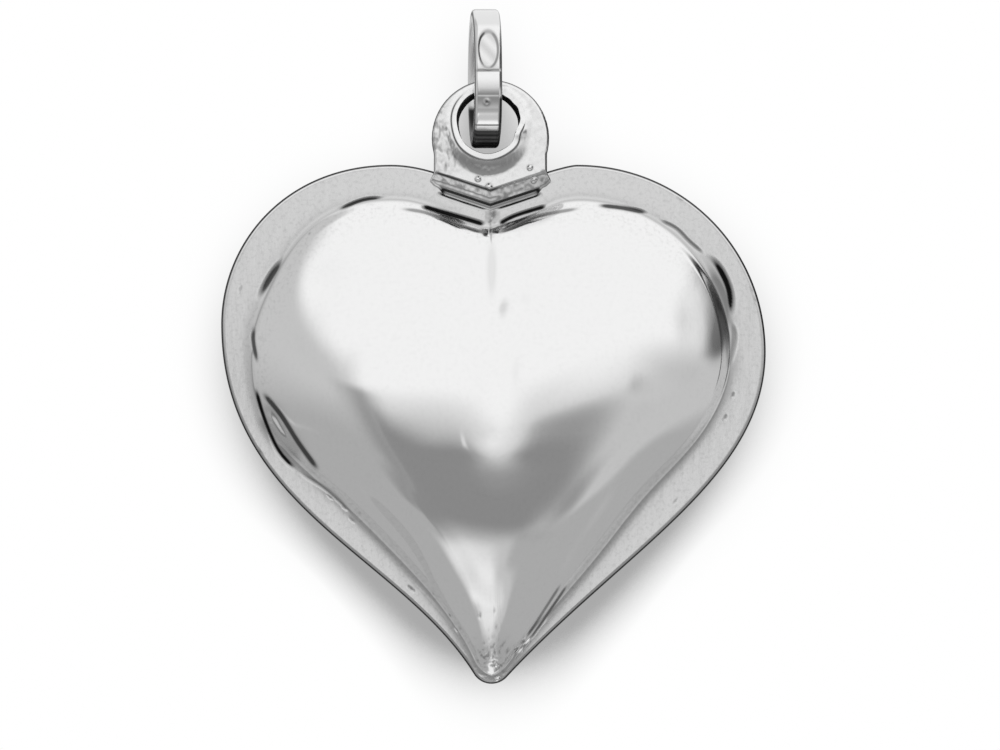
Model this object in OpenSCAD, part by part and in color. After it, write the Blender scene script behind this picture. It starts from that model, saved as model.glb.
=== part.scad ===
// Puffy heart pendant, hung from a flat-band jump ring.
// The heart is two domed and flanged sheet halves soldered face to face.
// A two-ply eyelet stands in the cleft, and the jump ring is linked through it.
// Origin: where a chain bears on the ring, at the top of the ring's inner face.
// +Z is up, +X is to the viewer's right, and the front of the heart faces -Y.

/* [Heart outline] */
// Half width of the heart to the left of its centre line
left_half = 10.4; // [8.5:0.05:13]
// Half width of the heart to the right of its centre line
right_half = 10.55; // [8.5:0.05:13]
// Height from the top of the lobes to the tip
heart_h = 19.97; // [17:0.1:24]
// Depth of the cleft below the top of the lobes
cleft_depth = 0.97; // [0.7:0.05:1.4]
// Distance of the left lobe's top from the centre line
left_lobe_x = 3.86; // [3:0.05:4.6]
// Distance of the right lobe's top from the centre line
right_lobe_x = 3.3; // [2.9:0.05:4.6]
// Drop from the lobe's top to the widest point on the left
left_side_drop = 6.13; // [5:0.05:8]
// Drop from the lobe's top to the widest point on the right
right_side_drop = 7.2; // [5:0.05:8.5]
// Radius of the rounded tip
tip_r = 0.8; // [0.5:0.05:1.2]

/* [Flat flange] */
// Width of the flange round the cleft and the lobe tops
flange_top = 1.35; // [0.9:0.05:1.8]
// Width of the flange on the left shoulder
flange_shoulder_l = 1.7; // [0.9:0.05:2]
// Width of the flange on the left side
flange_side_l = 1.15; // [0.7:0.05:2]
// Width of the flange below the left side
flange_waist_l = 0.88; // [0.6:0.02:2]
// Width of the flange on the left flank
flange_flank_l = 1.25; // [0.7:0.05:2]
// Width of the flange low on the left
flange_low_l = 0.9; // [0.6:0.05:1.5]
// Width of the flange on the right shoulder
flange_shoulder_r = 1.4; // [0.9:0.05:2]
// Width of the flange on the right side
flange_side_r = 1.38; // [0.7:0.02:2]
// Width of the flange below the right side
flange_waist_r = 1.5; // [0.7:0.05:2]
// Width of the flange on the right flank
flange_flank_r = 1.5; // [0.7:0.05:2]
// Width of the flange low on the right
flange_low_r = 0.85; // [0.5:0.05:1.5]
// Width of the flange at the tip
flange_tip = 0.35; // [0.25:0.05:0.6]

/* [Domed halves] */
// Thickness of the sheet that each half is struck from
sheet_t = 0.3; // [0.2:0.02:0.45]
// Height of each dome above its flange
dome_h = 3; // [2:0.1:4.5]
// Height of the steep wall that rises from the flange
wall_h = 0.7; // [0.4:0.05:1.1]
// Share of the way to the crown that the steep wall takes
wall_share = 0.045; // [0.03:0.005:0.08]
// Fullness of the crown, where 2 is a parabola
crown_power = 2.28; // [1.8:0.02:2.8]
// Drop from the lobe tops to the highest point of the crown
crown_drop = 9.9; // [8:0.1:11]

/* [Eyelet] */
// Outer radius of the eyelet's disc
disc_r = 2.25; // [2.1:0.01:2.7]
// Radius of the hole that the ring passes through
eye_r = 1.2; // [1.1:0.01:1.3]
// Height of the hole's centre above the disc's centre
eye_rise = 0.62; // [0.4:0.02:0.7]
// Clearance beside the ring where it lies in the hole
eye_clear = 0.15; // [0.1:0.01:0.2]
// Drop from the disc's centre to the bottom of the cleft
neck_drop = 1.98; // [1.7:0.02:2.4]
// Half width of the neck below the disc
neck_half = 2.17; // [1.9:0.01:2.2]
// Thickness of one ply of the neck, from the middle plane
neck_t = 0.5; // [0.46:0.01:0.6]
// Thickness of one ply at the rim of the disc
rim_t = 0.25; // [0.2:0.01:0.35]
// Height of the raised lip round the hole, from the middle plane
lip_t = 0.85; // [0.7:0.01:1]
// Width of the raised lip round the hole
lip_w = 0.16; // [0.12:0.01:0.22]
// Half width of the soldered foot
foot_half = 2.54; // [2.3:0.02:2.8]
// Depth of the soldered foot below the neck
foot_drop = 0.55; // [0.4:0.05:0.8]
// Thickness of the foot above the flange
foot_t = 0.15; // [0.1:0.01:0.18]
// Half width of the thin step along the foot's lower edge
step_half = 2.05; // [1.8:0.05:2.3]
// Depth of the step below the foot
step_drop = 0.23; // [0.15:0.01:0.3]
// Thickness of the step above the flange
step_t = 0.08; // [0.05:0.01:0.1]
// Distance by which the back ply's hole sits lower than the front one's
back_eye_drop = 0.12; // [0:0.02:0.2]

/* [Jump ring] */
// Outer radius of the ring
ring_r = 2.675; // [2.5:0.025:3.2]
// Radial thickness of the ring's band
band_t = 0.6; // [0.45:0.01:0.75]
// Width of the ring's band
band_w = 1.05; // [0.8:0.01:1.15]
// Bevel on the edges of the band
band_edge = 0.08; // [0.04:0.01:0.14]
// Angle by which the ring is turned out of the side plane
ring_yaw = 5; // [0:1:8]

/* [Hidden] */
LEFT = 0;
RIGHT = 1;

// Heights, from the chain's seat down to the tip
ring_z = band_t - ring_r;
ring_low_z = ring_z - ring_r;
eye_z = ring_low_z + sqrt(pow(eye_r, 2) - pow(band_w / 2 + eye_clear, 2));
disc_z = eye_z - eye_rise;
cleft_z = disc_z - neck_drop;
lobe_z = cleft_z + cleft_depth;
crown_z = lobe_z - crown_drop;
tip_z = lobe_z - heart_h;

// The two sides of the outline, as [left, right]
half_w = [left_half, right_half];
lobe_x = [left_lobe_x, right_lobe_x];
side_z = [lobe_z - left_side_drop, lobe_z - right_side_drop];
mirror_x = [-1, 1];
// Lengths of the curve's handles, as shares of the stretch that each one bends
cleft_handle = [0.21, 0.15];
cleft_slope = [0.05, 0.31];
lobe_handle = [0.43, 0.17];
shoulder_handle = [0.63, 0.555];
side_up_handle = [0.505, 0.56];
side_down_handle = [0.515, 0.38];
flank_handle = [0.52, 0.64];
tip_angle = [58, 47];
flange_w = [
    [flange_top, flange_shoulder_l, flange_side_l, flange_waist_l, flange_flank_l, flange_low_l, flange_tip],
    [flange_top, flange_shoulder_r, flange_side_r, flange_waist_r, flange_flank_r, flange_low_r, flange_tip]
];

// Steps along the cleft, the shoulder, the flank and the tip of each side
cleft_steps = 5;
shoulder_steps = 11;
flank_steps = 16;
tip_steps = 4;
// Rings of the dome inside the steep wall, outer face and inner face
crown_rings = 12;
inner_rings = 6;
edge_round = 0.07;

// The crown is a plain oval at its middle and takes the heart's outline towards its edge
oval_half = 9;
oval_up = 7.75;
oval_down = 10.1;
oval_fade = 0.77;
// The steep wall dies away towards the tip
wall_fade_from = 0.55;
wall_at_tip = 0.15;

eye_x = -0.13;
disc_x = -0.04;
ring_x = -0.15;
lip_slope_r = 0.75;
groove_w = 0.18;
groove_t = 0.4;
foot_slope = 0.33;
round_fn = 96;
slack = 0.01;

function ease(t) = let (c = min(1, max(0, t))) c * c * (3 - 2 * c);
function mix(a, b, t) = a + (b - a) * t;
// A smooth curve through evenly spaced values, at the share t between values i and i + 1
function spline(w, i, t) =
    let (a = w[max(0, i - 1)], b = w[i], c = w[i + 1], d = w[min(len(w) - 1, i + 2)])
    b + t / 2 * (c - a + t * (2 * a - 5 * b + 4 * c - d + t * (3 * (b - c) + d - a)));
function bezier(p, t) =
    pow(1 - t, 3) * p[0] + 3 * pow(1 - t, 2) * t * p[1] + 3 * (1 - t) * t * t * p[2] + pow(t, 3) * p[3];

// Stretches of one side of the outline, drawn to the right of the centre line as [x, z]
function lobe_top(s) = [lobe_x[s], lobe_z];
function widest(s) = [half_w[s], side_z[s]];
function tip_start(s) = [tip_r * sin(tip_angle[s]), tip_z + tip_r * (1 - cos(tip_angle[s]))];
function cleft_curve(s) = let (reach = lobe_x[s] * cleft_handle[s]) [
    [0, cleft_z],
    [reach, cleft_z + reach * cleft_slope[s]],
    lobe_top(s) - [lobe_x[s] * lobe_handle[s], 0],
    lobe_top(s)
];
function shoulder_curve(s) = [
    lobe_top(s),
    lobe_top(s) + [(half_w[s] - lobe_x[s]) * shoulder_handle[s], 0],
    widest(s) + [0, (lobe_z - side_z[s]) * side_up_handle[s]],
    widest(s)
];
function flank_curve(s) = [
    widest(s),
    widest(s) - [0, (side_z[s] - tip_z) * side_down_handle[s]],
    tip_start(s) + half_w[s] * flank_handle[s] * [cos(tip_angle[s]), sin(tip_angle[s])],
    tip_start(s)
];
function tip_point(s, t) = let (a = tip_angle[s] * (1 - t)) [tip_r * sin(a), tip_z + tip_r * (1 - cos(a))];
function side_points(s) = [
    for (i = [0:cleft_steps - 1]) bezier(cleft_curve(s), i / cleft_steps),
    for (i = [0:shoulder_steps - 1]) bezier(shoulder_curve(s), i / shoulder_steps),
    for (i = [0:flank_steps - 1]) bezier(flank_curve(s), i / flank_steps),
    for (i = [0:tip_steps]) tip_point(s, i / tip_steps)
];

// Width of the flat flange beside a point of the outline, by how far down the heart it is
function flange_at(s, z) =
    let (depth = min(1, max(0, (lobe_z - z) / heart_h)) * 6)
    let (i = min(5, floor(depth)))
    spline(flange_w[s], i, depth - i);

// Spokes run from the crown's centre through each point of the outline:
// [outline x, outline z, crease x, crease z, height of the steep wall]
crown_at = [0, crown_z];
right_side = side_points(RIGHT);
left_side = side_points(LEFT);
side_count = len(right_side);
function spoke(s, pts, i) =
    let (p = pts[i])
    let (along = pts[min(side_count - 1, i + 1)] - pts[max(0, i - 1)])
    let (out = p - crown_at)
    let (square_on = abs(out[0] * along[1] - out[1] * along[0]) / norm(out) / norm(along))
    let (crease = p - out / norm(out) * flange_at(s, p[1]) / max(0.55, square_on))
    let (low = ease(((lobe_z - p[1]) / heart_h - wall_fade_from) / (1 - wall_fade_from)))
    [mirror_x[s] * p[0], p[1], mirror_x[s] * crease[0], crease[1], wall_h * mix(1, wall_at_tip, low)];
spokes = [
    for (i = [0:side_count - 1]) spoke(RIGHT, right_side, i),
    for (i = [side_count - 2:-1:1]) spoke(LEFT, left_side, i)
];
spoke_count = len(spokes);
outline = [for (k = spokes) [k[0], k[1]]];

// Distance of the plain oval from the crown's centre, along the direction d
function oval_reach(d) = 1 / norm([d[0] / oval_half, d[1] / (d[1] > 0 ? oval_up : oval_down)]);
// A point of the dome: share 1 is the crease at the flange, share 0 the top of the crown
function dome_at(k, share, inset) =
    let (arm = [k[2], k[3]] - crown_at)
    let (dir = arm / norm(arm))
    let (reach = mix(oval_reach(dir), norm(arm), ease(share / oval_fade)))
    crown_at + dir * share * (reach - inset);
function dome_rise(k, share) =
    k[4] * ease((1 - share) / wall_share)
    + (dome_h - k[4]) * (1 - pow(share, crown_power));

// Shares of the rings, from the crease inwards
outer_shares = [
    1, 1 - wall_share / 2, 1 - wall_share,
    for (i = [1:crown_rings - 1]) (1 - wall_share) * cos(90 * i / crown_rings)
];
inner_shares = [
    for (i = [inner_rings - 1:-1:1]) (1 - wall_share) * cos(90 * i / inner_rings),
    1 - wall_share, 1
];

// Rings of one half in order round its section, as lists of [x, y, z]
function flat_ring(y, inset) = [for (k = spokes)
    let (out = [k[0], k[1]] - crown_at)
    let (p = crown_at + out * (1 - inset / norm(out)))
    [p[0], y, p[1]]
];
function outer_ring(share) = [for (k = spokes)
    let (p = dome_at(k, share, 0))
    [p[0], -sheet_t - dome_rise(k, share), p[1]]
];
function inner_ring(share) = [for (k = spokes)
    let (p = dome_at(k, share, sheet_t))
    [p[0], -dome_rise(k, share), p[1]]
];
outer_face = [
    flat_ring(0, 0), flat_ring(edge_round - sheet_t, 0), flat_ring(-sheet_t, edge_round),
    for (share = outer_shares) outer_ring(share)
];
inner_face = [for (share = inner_shares) inner_ring(share)];

function band_faces(a, b) = [for (i = [0:spoke_count - 1])
    let (j = (i + 1) % spoke_count)
    for (f = [[a + i, b + j, a + j], [a + i, b + i, b + j]]) f
];

module dished_half() {
    rings = concat(outer_face, inner_face);
    outer_count = len(outer_face);
    ring_count = len(rings);
    points = [for (ring = rings) for (p = ring) p];
    crown_out = len(points);
    crown_in = crown_out + 1;
    last_outer = (outer_count - 1) * spoke_count;
    first_inner = outer_count * spoke_count;
    polyhedron(
        points = concat(points, [[0, -sheet_t - dome_h, crown_z], [0, -dome_h, crown_z]]),
        faces = concat(
            [for (r = [0:outer_count - 2]) for (f = band_faces(r * spoke_count, (r + 1) * spoke_count)) f],
            [for (i = [0:spoke_count - 1]) [last_outer + i, crown_out, last_outer + (i + 1) % spoke_count]],
            [for (i = [0:spoke_count - 1]) [crown_in, first_inner + i, first_inner + (i + 1) % spoke_count]],
            [for (r = [outer_count:ring_count - 2])
                for (f = band_faces(r * spoke_count, (r + 1) * spoke_count)) f],
            band_faces((ring_count - 1) * spoke_count, 0)
        ),
        convexity = 6
    );
}

// Stands a shape drawn in the XZ plane between two depths in front of the middle plane
module stand(from_t, to_t) {
    translate([0, -from_t, 0])
        rotate([90, 0, 0])
            linear_extrude(to_t - from_t)
                children();
}

module neck_shape() {
    polygon([
        [disc_x - neck_half, disc_z],
        [disc_x - neck_half, cleft_z + foot_slope * neck_half],
        [disc_x, cleft_z],
        [disc_x + neck_half, cleft_z + foot_slope * neck_half],
        [disc_x + neck_half, disc_z]
    ]);
}

// A strip that follows the V of the cleft, with a half width and a drop below the cleft's edge
module cleft_strip(half, drop) {
    end_z = cleft_z + foot_slope * half;
    polygon([
        [disc_x - half, end_z],
        [disc_x - half, end_z - drop],
        [disc_x, cleft_z - drop],
        [disc_x + half, end_z - drop],
        [disc_x + half, end_z],
        [disc_x, cleft_z]
    ]);
}

// Section of one ply round the hole: a lip, a slope down from it and a thin rim
module eye_section() {
    polygon([
        [eye_r, groove_t],
        [eye_r + groove_w, groove_t],
        [eye_r + groove_w, 0],
        [disc_r + eye_rise + slack, 0],
        [disc_r + eye_rise + slack, rim_t],
        [eye_r + lip_slope_r, neck_t],
        [eye_r + lip_w, lip_t],
        [eye_r, lip_t]
    ]);
}

module eyelet_ply(eye_drop) {
    hole_z = eye_z - eye_drop;
    difference() {
        union() {
            intersection() {
                translate([eye_x, 0, hole_z])
                    rotate([90, 0, 0])
                        rotate_extrude($fn = round_fn)
                            eye_section();
                translate([disc_x, slack, disc_z])
                    rotate([90, 0, 0])
                        cylinder(h = lip_t + 2 * slack, r = disc_r, $fn = round_fn);
            }
            difference() {
                stand(0, neck_t)
                    neck_shape();
                translate([eye_x, slack, hole_z])
                    rotate([90, 0, 0])
                        cylinder(h = neck_t + 2 * slack, r = eye_r + groove_w, $fn = round_fn);
            }
        }
        stand(-slack, sheet_t)
            polygon(outline);
    }
    intersection() {
        union() {
            stand(sheet_t, sheet_t + foot_t)
                cleft_strip(foot_half, foot_drop);
            stand(sheet_t, sheet_t + step_t)
                cleft_strip(step_half, foot_drop + step_drop);
        }
        stand(sheet_t - slack, neck_t)
            polygon(outline);
    }
}

module front_shell() {
    color("silver")
        dished_half();
}

module back_shell() {
    color("silver")
        mirror([0, 1, 0])
            dished_half();
}

module front_eyelet_ply() {
    color("lightgray")
        eyelet_ply(0);
}

module back_eyelet_ply() {
    color("lightgray")
        mirror([0, 1, 0])
            eyelet_ply(back_eye_drop);
}

module jump_ring() {
    inner_r = ring_r - band_t;
    half = band_w / 2;
    color("gainsboro")
        translate([ring_x, 0, ring_z])
            rotate([0, 0, ring_yaw])
                rotate([0, 90, 0])
                    rotate_extrude($fn = round_fn)
                        polygon([
                            [inner_r, -half + band_edge],
                            [inner_r + band_edge, -half],
                            [ring_r - band_edge, -half],
                            [ring_r, -half + band_edge],
                            [ring_r, half - band_edge],
                            [ring_r - band_edge, half],
                            [inner_r + band_edge, half],
                            [inner_r, half - band_edge]
                        ]);
}

front_shell();
back_shell();
front_eyelet_ply();
back_eyelet_ply();
jump_ring();
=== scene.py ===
import math

import bpy
import numpy as np
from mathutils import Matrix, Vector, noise


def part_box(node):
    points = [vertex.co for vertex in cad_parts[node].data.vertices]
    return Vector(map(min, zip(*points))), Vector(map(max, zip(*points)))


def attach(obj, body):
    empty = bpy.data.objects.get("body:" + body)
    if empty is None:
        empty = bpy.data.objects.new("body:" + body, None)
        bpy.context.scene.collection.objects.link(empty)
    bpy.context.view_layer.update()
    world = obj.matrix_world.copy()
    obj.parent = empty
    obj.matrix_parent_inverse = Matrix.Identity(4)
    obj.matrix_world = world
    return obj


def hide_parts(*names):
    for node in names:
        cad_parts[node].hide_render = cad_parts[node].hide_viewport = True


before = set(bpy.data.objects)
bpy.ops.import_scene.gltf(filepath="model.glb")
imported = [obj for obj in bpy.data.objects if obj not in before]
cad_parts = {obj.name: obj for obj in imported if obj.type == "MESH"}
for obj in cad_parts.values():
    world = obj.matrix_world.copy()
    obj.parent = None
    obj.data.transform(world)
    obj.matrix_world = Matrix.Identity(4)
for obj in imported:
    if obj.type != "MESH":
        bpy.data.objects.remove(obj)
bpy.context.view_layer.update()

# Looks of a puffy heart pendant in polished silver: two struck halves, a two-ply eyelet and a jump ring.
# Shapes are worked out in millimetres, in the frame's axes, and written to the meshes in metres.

MM = 0.001

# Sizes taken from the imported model
heart_low, heart_high = (np.array(corner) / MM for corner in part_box("front_shell"))
ring_low, ring_high = (np.array(corner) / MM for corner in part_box("jump_ring"))
LEFT_HALF, RIGHT_HALF = -heart_low[0], heart_high[0]
TIP_Z, LOBE_Z = heart_low[2], heart_high[2]
HEART_H = LOBE_Z - TIP_Z
RING_R = (ring_high[2] - ring_low[2]) / 2
RING_Z = (ring_high[2] + ring_low[2]) / 2
# The ring hangs a little further left than its solid, as in the photo
RING_SHIFT = -0.1
RING_X = (ring_high[0] + ring_low[0]) / 2 + RING_SHIFT

# Sizes of the struck halves
SHEET_T = 0.3
DOME_H = -heart_low[1] - SHEET_T
CLEFT_DEPTH = 0.97
CLEFT_Z = LOBE_Z - CLEFT_DEPTH
CROWN_DROP = 10.47
CROWN_Z = LOBE_Z - CROWN_DROP
OVAL_HALF, OVAL_UP, OVAL_DOWN = 11.57, 8.74, 11.16
# How full the crown is and where its oval has faded into the heart's outline: to the sides, tip and cleft
POWER_SIDE, POWER_TIP, POWER_CLEFT = 1.43, 1.59, 1.66
FADE_SIDE, FADE_TIP, FADE_CLEFT = 0.96, 1.2, 0.97
TIP_SPREAD, CLEFT_SPREAD = 24.23, 11.27
TOP_ROUND = 0.22
TOP_SHARE = 0.5
# The crown is drawn this much too high, because the valley at its middle takes it down again
CROWN_OVER = 0.61
CROWN_H = DOME_H + CROWN_OVER
WALL_W = 0.38
TIP_R = 0.8
EDGE_ROUND = 0.12

# The two sides of the outline, left first; the flange's width and the wall's height run from lobe to tip
SIDES = (
    dict(
        sign=-1, half=LEFT_HALF, lobe_x=3.86, side_drop=6.13, cleft=0.21, slope=0.05, lobe=0.43,
        shoulder=0.63, side_up=0.505, side_down=0.515, flank=0.52, tip_angle=58,
        flange=(1.35, 1.7, 1.15, 0.88, 1.25, 0.9, 0.35),
        wall=(0.03, 0.05, 0.04, 0.08, 0.2, 0.2, 0.1),
    ),
    dict(
        sign=1, half=RIGHT_HALF, lobe_x=3.3, side_drop=7.2, cleft=0.15, slope=0.31, lobe=0.17,
        shoulder=0.555, side_up=0.56, side_down=0.38, flank=0.64, tip_angle=47,
        flange=(1.35, 1.4, 1.38, 1.5, 1.5, 0.85, 0.35),
        wall=(0.03, 0.12, 0.45, 0.35, 0.3, 0.25, 0.1),
    ),
)
CLEFT_STEPS, SHOULDER_STEPS, FLANK_STEPS, TIP_STEPS = 44, 90, 150, 26
# Over what length of the outline the flange's width is evened, and through what turn the crease's corners are
FLANGE_SOFT, CREASE_SOFT = 1.2, 13
EVEN_STEPS = 1500
# The least that a spoke counts as square on to the outline
LEAST_SQUARE = 0.55


def ease(t):
    """A smooth step from 0 to 1 as t goes from 0 to 1."""
    c = np.clip(t, 0, 1)
    return c * c * (3 - 2 * c)


def mix(a, b, t):
    return a + (b - a) * t


def hill(distance, width):
    """1 at no distance, falling smoothly to nothing over about twice the width."""
    return np.exp(-((distance / width) ** 2))


def darkest(*layers):
    """The darkest of several layers of tarnish and painted shade, point by point."""
    return np.maximum.reduce(np.broadcast_arrays(*layers))


def bezier(points, t):
    a, b, c, d = (np.array(p, float) for p in points)
    t = t[:, None]
    return (1 - t) ** 3 * a + 3 * (1 - t) ** 2 * t * b + 3 * (1 - t) * t * t * c + t**3 * d


def through(a, b, c, d, t):
    """A smooth curve from b, at t = 0, to c, at t = 1, on the way from a to d."""
    return b + t / 2 * (c - a + t * (2 * a - 5 * b + 4 * c - d + t * (3 * (b - c) + d - a)))


def side_points(side):
    """One side of the outline from the cleft to the tip, drawn to the right of the centre line."""
    lobe = np.array([side["lobe_x"], LOBE_Z])
    widest = np.array([side["half"], LOBE_Z - side["side_drop"]])
    angle = math.radians(side["tip_angle"])
    tip_start = np.array([TIP_R * math.sin(angle), TIP_Z + TIP_R * (1 - math.cos(angle))])
    reach = side["lobe_x"] * side["cleft"]
    cleft_curve = (
        (0, CLEFT_Z),
        (reach, CLEFT_Z + reach * side["slope"]),
        lobe - (side["lobe_x"] * side["lobe"], 0),
        lobe,
    )
    shoulder_curve = (
        lobe,
        lobe + ((side["half"] - side["lobe_x"]) * side["shoulder"], 0),
        widest + (0, side["side_drop"] * side["side_up"]),
        widest,
    )
    flank_curve = (
        widest,
        widest - (0, (widest[1] - TIP_Z) * side["side_down"]),
        tip_start + side["half"] * side["flank"] * np.array([math.cos(angle), math.sin(angle)]),
        tip_start,
    )
    turn = angle * (1 - np.linspace(0, 1, TIP_STEPS + 1))
    tip = np.stack([TIP_R * np.sin(turn), TIP_Z + TIP_R * (1 - np.cos(turn))], 1)
    stretches = [
        bezier(curve, np.arange(steps) / steps)
        for curve, steps in (
            (cleft_curve, CLEFT_STEPS), (shoulder_curve, SHOULDER_STEPS), (flank_curve, FLANK_STEPS)
        )
    ]
    return np.vstack(stretches + [tip])


def down_the_side(values, z):
    """A smooth curve through values that stand evenly spaced from the lobe's top down to the tip."""
    w = np.array(values)
    last = len(w) - 1
    depth = np.clip((LOBE_Z - z) / HEART_H, 0, 1) * last
    i = np.minimum(last - 1, depth.astype(int))
    t = depth - i
    return through(w[np.maximum(0, i - 1)], w[i], w[i + 1], w[np.minimum(last, i + 2)], t)


def evened(values, position, width):
    """A running mean over a width of the position; it keeps the values and the slope at both ends."""
    grid = np.linspace(position[0], position[-1], EVEN_STEPS)
    reach = round(width / (grid[1] - grid[0]))
    weights = np.hanning(2 * reach + 3)[1:-1]
    padded = np.pad(np.interp(grid, position, values), reach, mode="reflect", reflect_type="odd")
    return np.interp(position, grid, np.convolve(padded, weights / weights.sum(), mode="valid"))


def make_spokes():
    """Spokes from the top of the crown through each point of the outline."""
    parts = []
    for side in reversed(SIDES):
        pts = side_points(side)
        nxt = np.vstack([pts[1:], pts[-1:]])
        prev = np.vstack([pts[:1], pts[:-1]])
        along = nxt - prev
        out = pts - (0, CROWN_Z)
        reach = np.linalg.norm(out, axis=1)
        square_on = np.abs(out[:, 0] * along[:, 1] - out[:, 1] * along[:, 0]) / reach
        square_on = np.maximum(LEAST_SQUARE, square_on / np.linalg.norm(along, axis=1))
        length = np.concatenate([[0], np.cumsum(np.hypot(*np.diff(pts, axis=0).T))])
        inset = evened(down_the_side(side["flange"], pts[:, 1]) / square_on, length, FLANGE_SOFT)
        wall = down_the_side(side["wall"], pts[:, 1])
        direction = out / reach[:, None] * (side["sign"], 1)
        rows = np.column_stack([direction, reach, reach - inset, wall, square_on])
        parts.append(rows if side["sign"] > 0 else rows[-2:0:-1])
    return np.vstack(parts)


SPOKES = make_spokes()
SPOKE_DIR = SPOKES[:, :2]
SPOKE_OUT, SPOKE_CREASE, SPOKE_WALL, SPOKE_SQUARE = SPOKES[:, 2:].T
SPOKE_TURN = np.degrees(np.arctan2(SPOKE_DIR[:, 0], SPOKE_DIR[:, 1])) % 360


def soft_crease():
    """The crease's distance along each spoke with its corners at the tip and cleft rounded off."""
    turns = np.concatenate([SPOKE_TURN - 360, SPOKE_TURN, SPOKE_TURN + 360])
    order = np.argsort(turns)
    soft = np.empty(len(turns))
    soft[order] = evened(np.tile(SPOKE_CREASE, 3)[order], turns[order], CREASE_SOFT)
    return soft[len(SPOKE_TURN):-len(SPOKE_TURN)]


SOFT_CREASE = soft_crease()


def oval_reach(share):
    """Distance of the crown's plain oval from its middle, along each spoke; it is even at the very top."""
    end = np.where(SPOKE_DIR[:, 1] > 0, OVAL_UP, OVAL_DOWN)
    up = mix((OVAL_UP + OVAL_DOWN) / 2, end, ease(share / TOP_SHARE))
    return 1 / np.hypot(SPOKE_DIR[:, 0] / OVAL_HALF, SPOKE_DIR[:, 1] / up)


CREASE_ROUND = 0.07
# Painted dark reflection: on the rim's edge, and in the upper part of the crease
RIM_PAINTED_SHADE, CREASE_PAINTED_SHADE = 0.95, 0.4


def by_direction(side, tip, cleft):
    """A value for each spoke that changes smoothly towards the tip and towards the cleft."""
    from_tip = np.degrees(np.arctan2(np.abs(SPOKE_DIR[:, 0]), -SPOKE_DIR[:, 1]))
    near_tip, near_cleft = hill(from_tip, TIP_SPREAD), hill(180 - from_tip, CLEFT_SPREAD)
    return side + (tip - side) * near_tip + (cleft - side) * near_cleft


def crown_reach(share):
    """Distance along each spoke at a share: a plain oval at the middle, the heart's outline at the edge."""
    fade = by_direction(FADE_SIDE, FADE_TIP, FADE_CLEFT)
    whole = ease(1 / fade)
    outline = mix(SOFT_CREASE, SPOKE_CREASE, ease((share - 0.7) / 0.3))
    return mix(oval_reach(share), outline, ease(share / fade) / whole) * share


def section_rise(share):
    """Height above the flange at a share of the way from the crown's middle out to the crease."""
    inward = (1 - share) * SPOKE_CREASE * SPOKE_SQUARE
    soft = (inward + np.hypot(inward, CREASE_ROUND)) / 2
    wall = SPOKE_WALL * ease(soft / WALL_W)
    out = np.clip(1 - soft / SPOKE_SQUARE / SPOKE_CREASE, 0, 1)
    power = mix(POWER_SIDE, by_direction(POWER_SIDE, POWER_TIP, POWER_CLEFT), ease(out / TOP_SHARE))
    rounded = np.hypot(out, TOP_ROUND * (1 - out))
    crown = (CROWN_H - SPOKE_WALL) * (1 - rounded**power) / (1 - TOP_ROUND**power)
    return wall + crown


def ring_points(distance, depth, dark=0.0):
    """One ring of (x, y, z, darkness) points, at a distance along each spoke, in front of the middle plane; the
    darkness is tarnish and painted shade.
    """
    x = SPOKE_DIR[:, 0] * distance
    z = CROWN_Z + SPOKE_DIR[:, 1] * distance
    return np.column_stack([x, -np.broadcast_to(depth, x.shape), z, np.full(x.shape, dark)])


# Soft forms that the die gave the crown: a valley below the cleft and the dip that it ends in, then swells
# and hollows as (x, z, half width, half length, height)
VALLEY = dict(x=0.28, width=0.96, depth=0.43, full_z=-13.42, end_z=-17.25)
DIP = dict(x=-0.04, width=5.87, depth=0.5, full_z=-16.58, end_z=-20.03)
SOFT_FORMS = (
    (-4.17, -11.5, 2.83, 4.13, -0.26),
    (6.46, -8.69, 3.4, 1.7, -0.29),
    (-0.93, -20.93, 1.93, 2.53, -0.3),
    (-5.19, -13.72, 2.48, 1.52, 0.18),
    (7.8, -13.57, 2.48, 1.35, -0.28),
    (-2.33, -15.48, 1.44, 1.29, -0.07),
    (4.42, -15.33, 3.65, 2.02, -0.26),
    (-3.06, -18.45, 2.21, 2.01, -0.16),
    (2.29, -20.34, 2.61, 4.11, -0.43),
    (-6.84, -9.48, 1.22, 1.61, -0.36),
    (7.99, -10.43, 0.85, 3.32, -0.12),
    (0.55, -10.99, 0.58, 1.81, 0.16),
)
# The outer share of the crown over which they die away
FORMS_FADE = 0.4


def die_forms(x, z, share):
    """Height that the soft forms add at a point of the crown; they die away at its edge."""
    rise = 0
    for form_x, form_z, width, length, height in SOFT_FORMS:
        rise = rise + height * hill(x - form_x, width) * hill(z - form_z, length)
    for form in (VALLEY, DIP):
        along = ease((z - form["end_z"]) / (form["full_z"] - form["end_z"]))
        rise = rise - form["depth"] * hill(x - form["x"], form["width"]) * along
    return rise * ease((1 - share) / FORMS_FADE)


def mark(*line, half, dark, fade, depth=0.02, slant=0):
    """A mark along a line of (x, z) points, with its half width, how dark it is painted, the share of its
    length over which its ends fade, and its depth, below zero where it stands proud. A slant turns the band
    along the line to face one side."""
    return dict(line=line, half=half, dark=dark, fade=fade, depth=depth, slant=slant)
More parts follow.
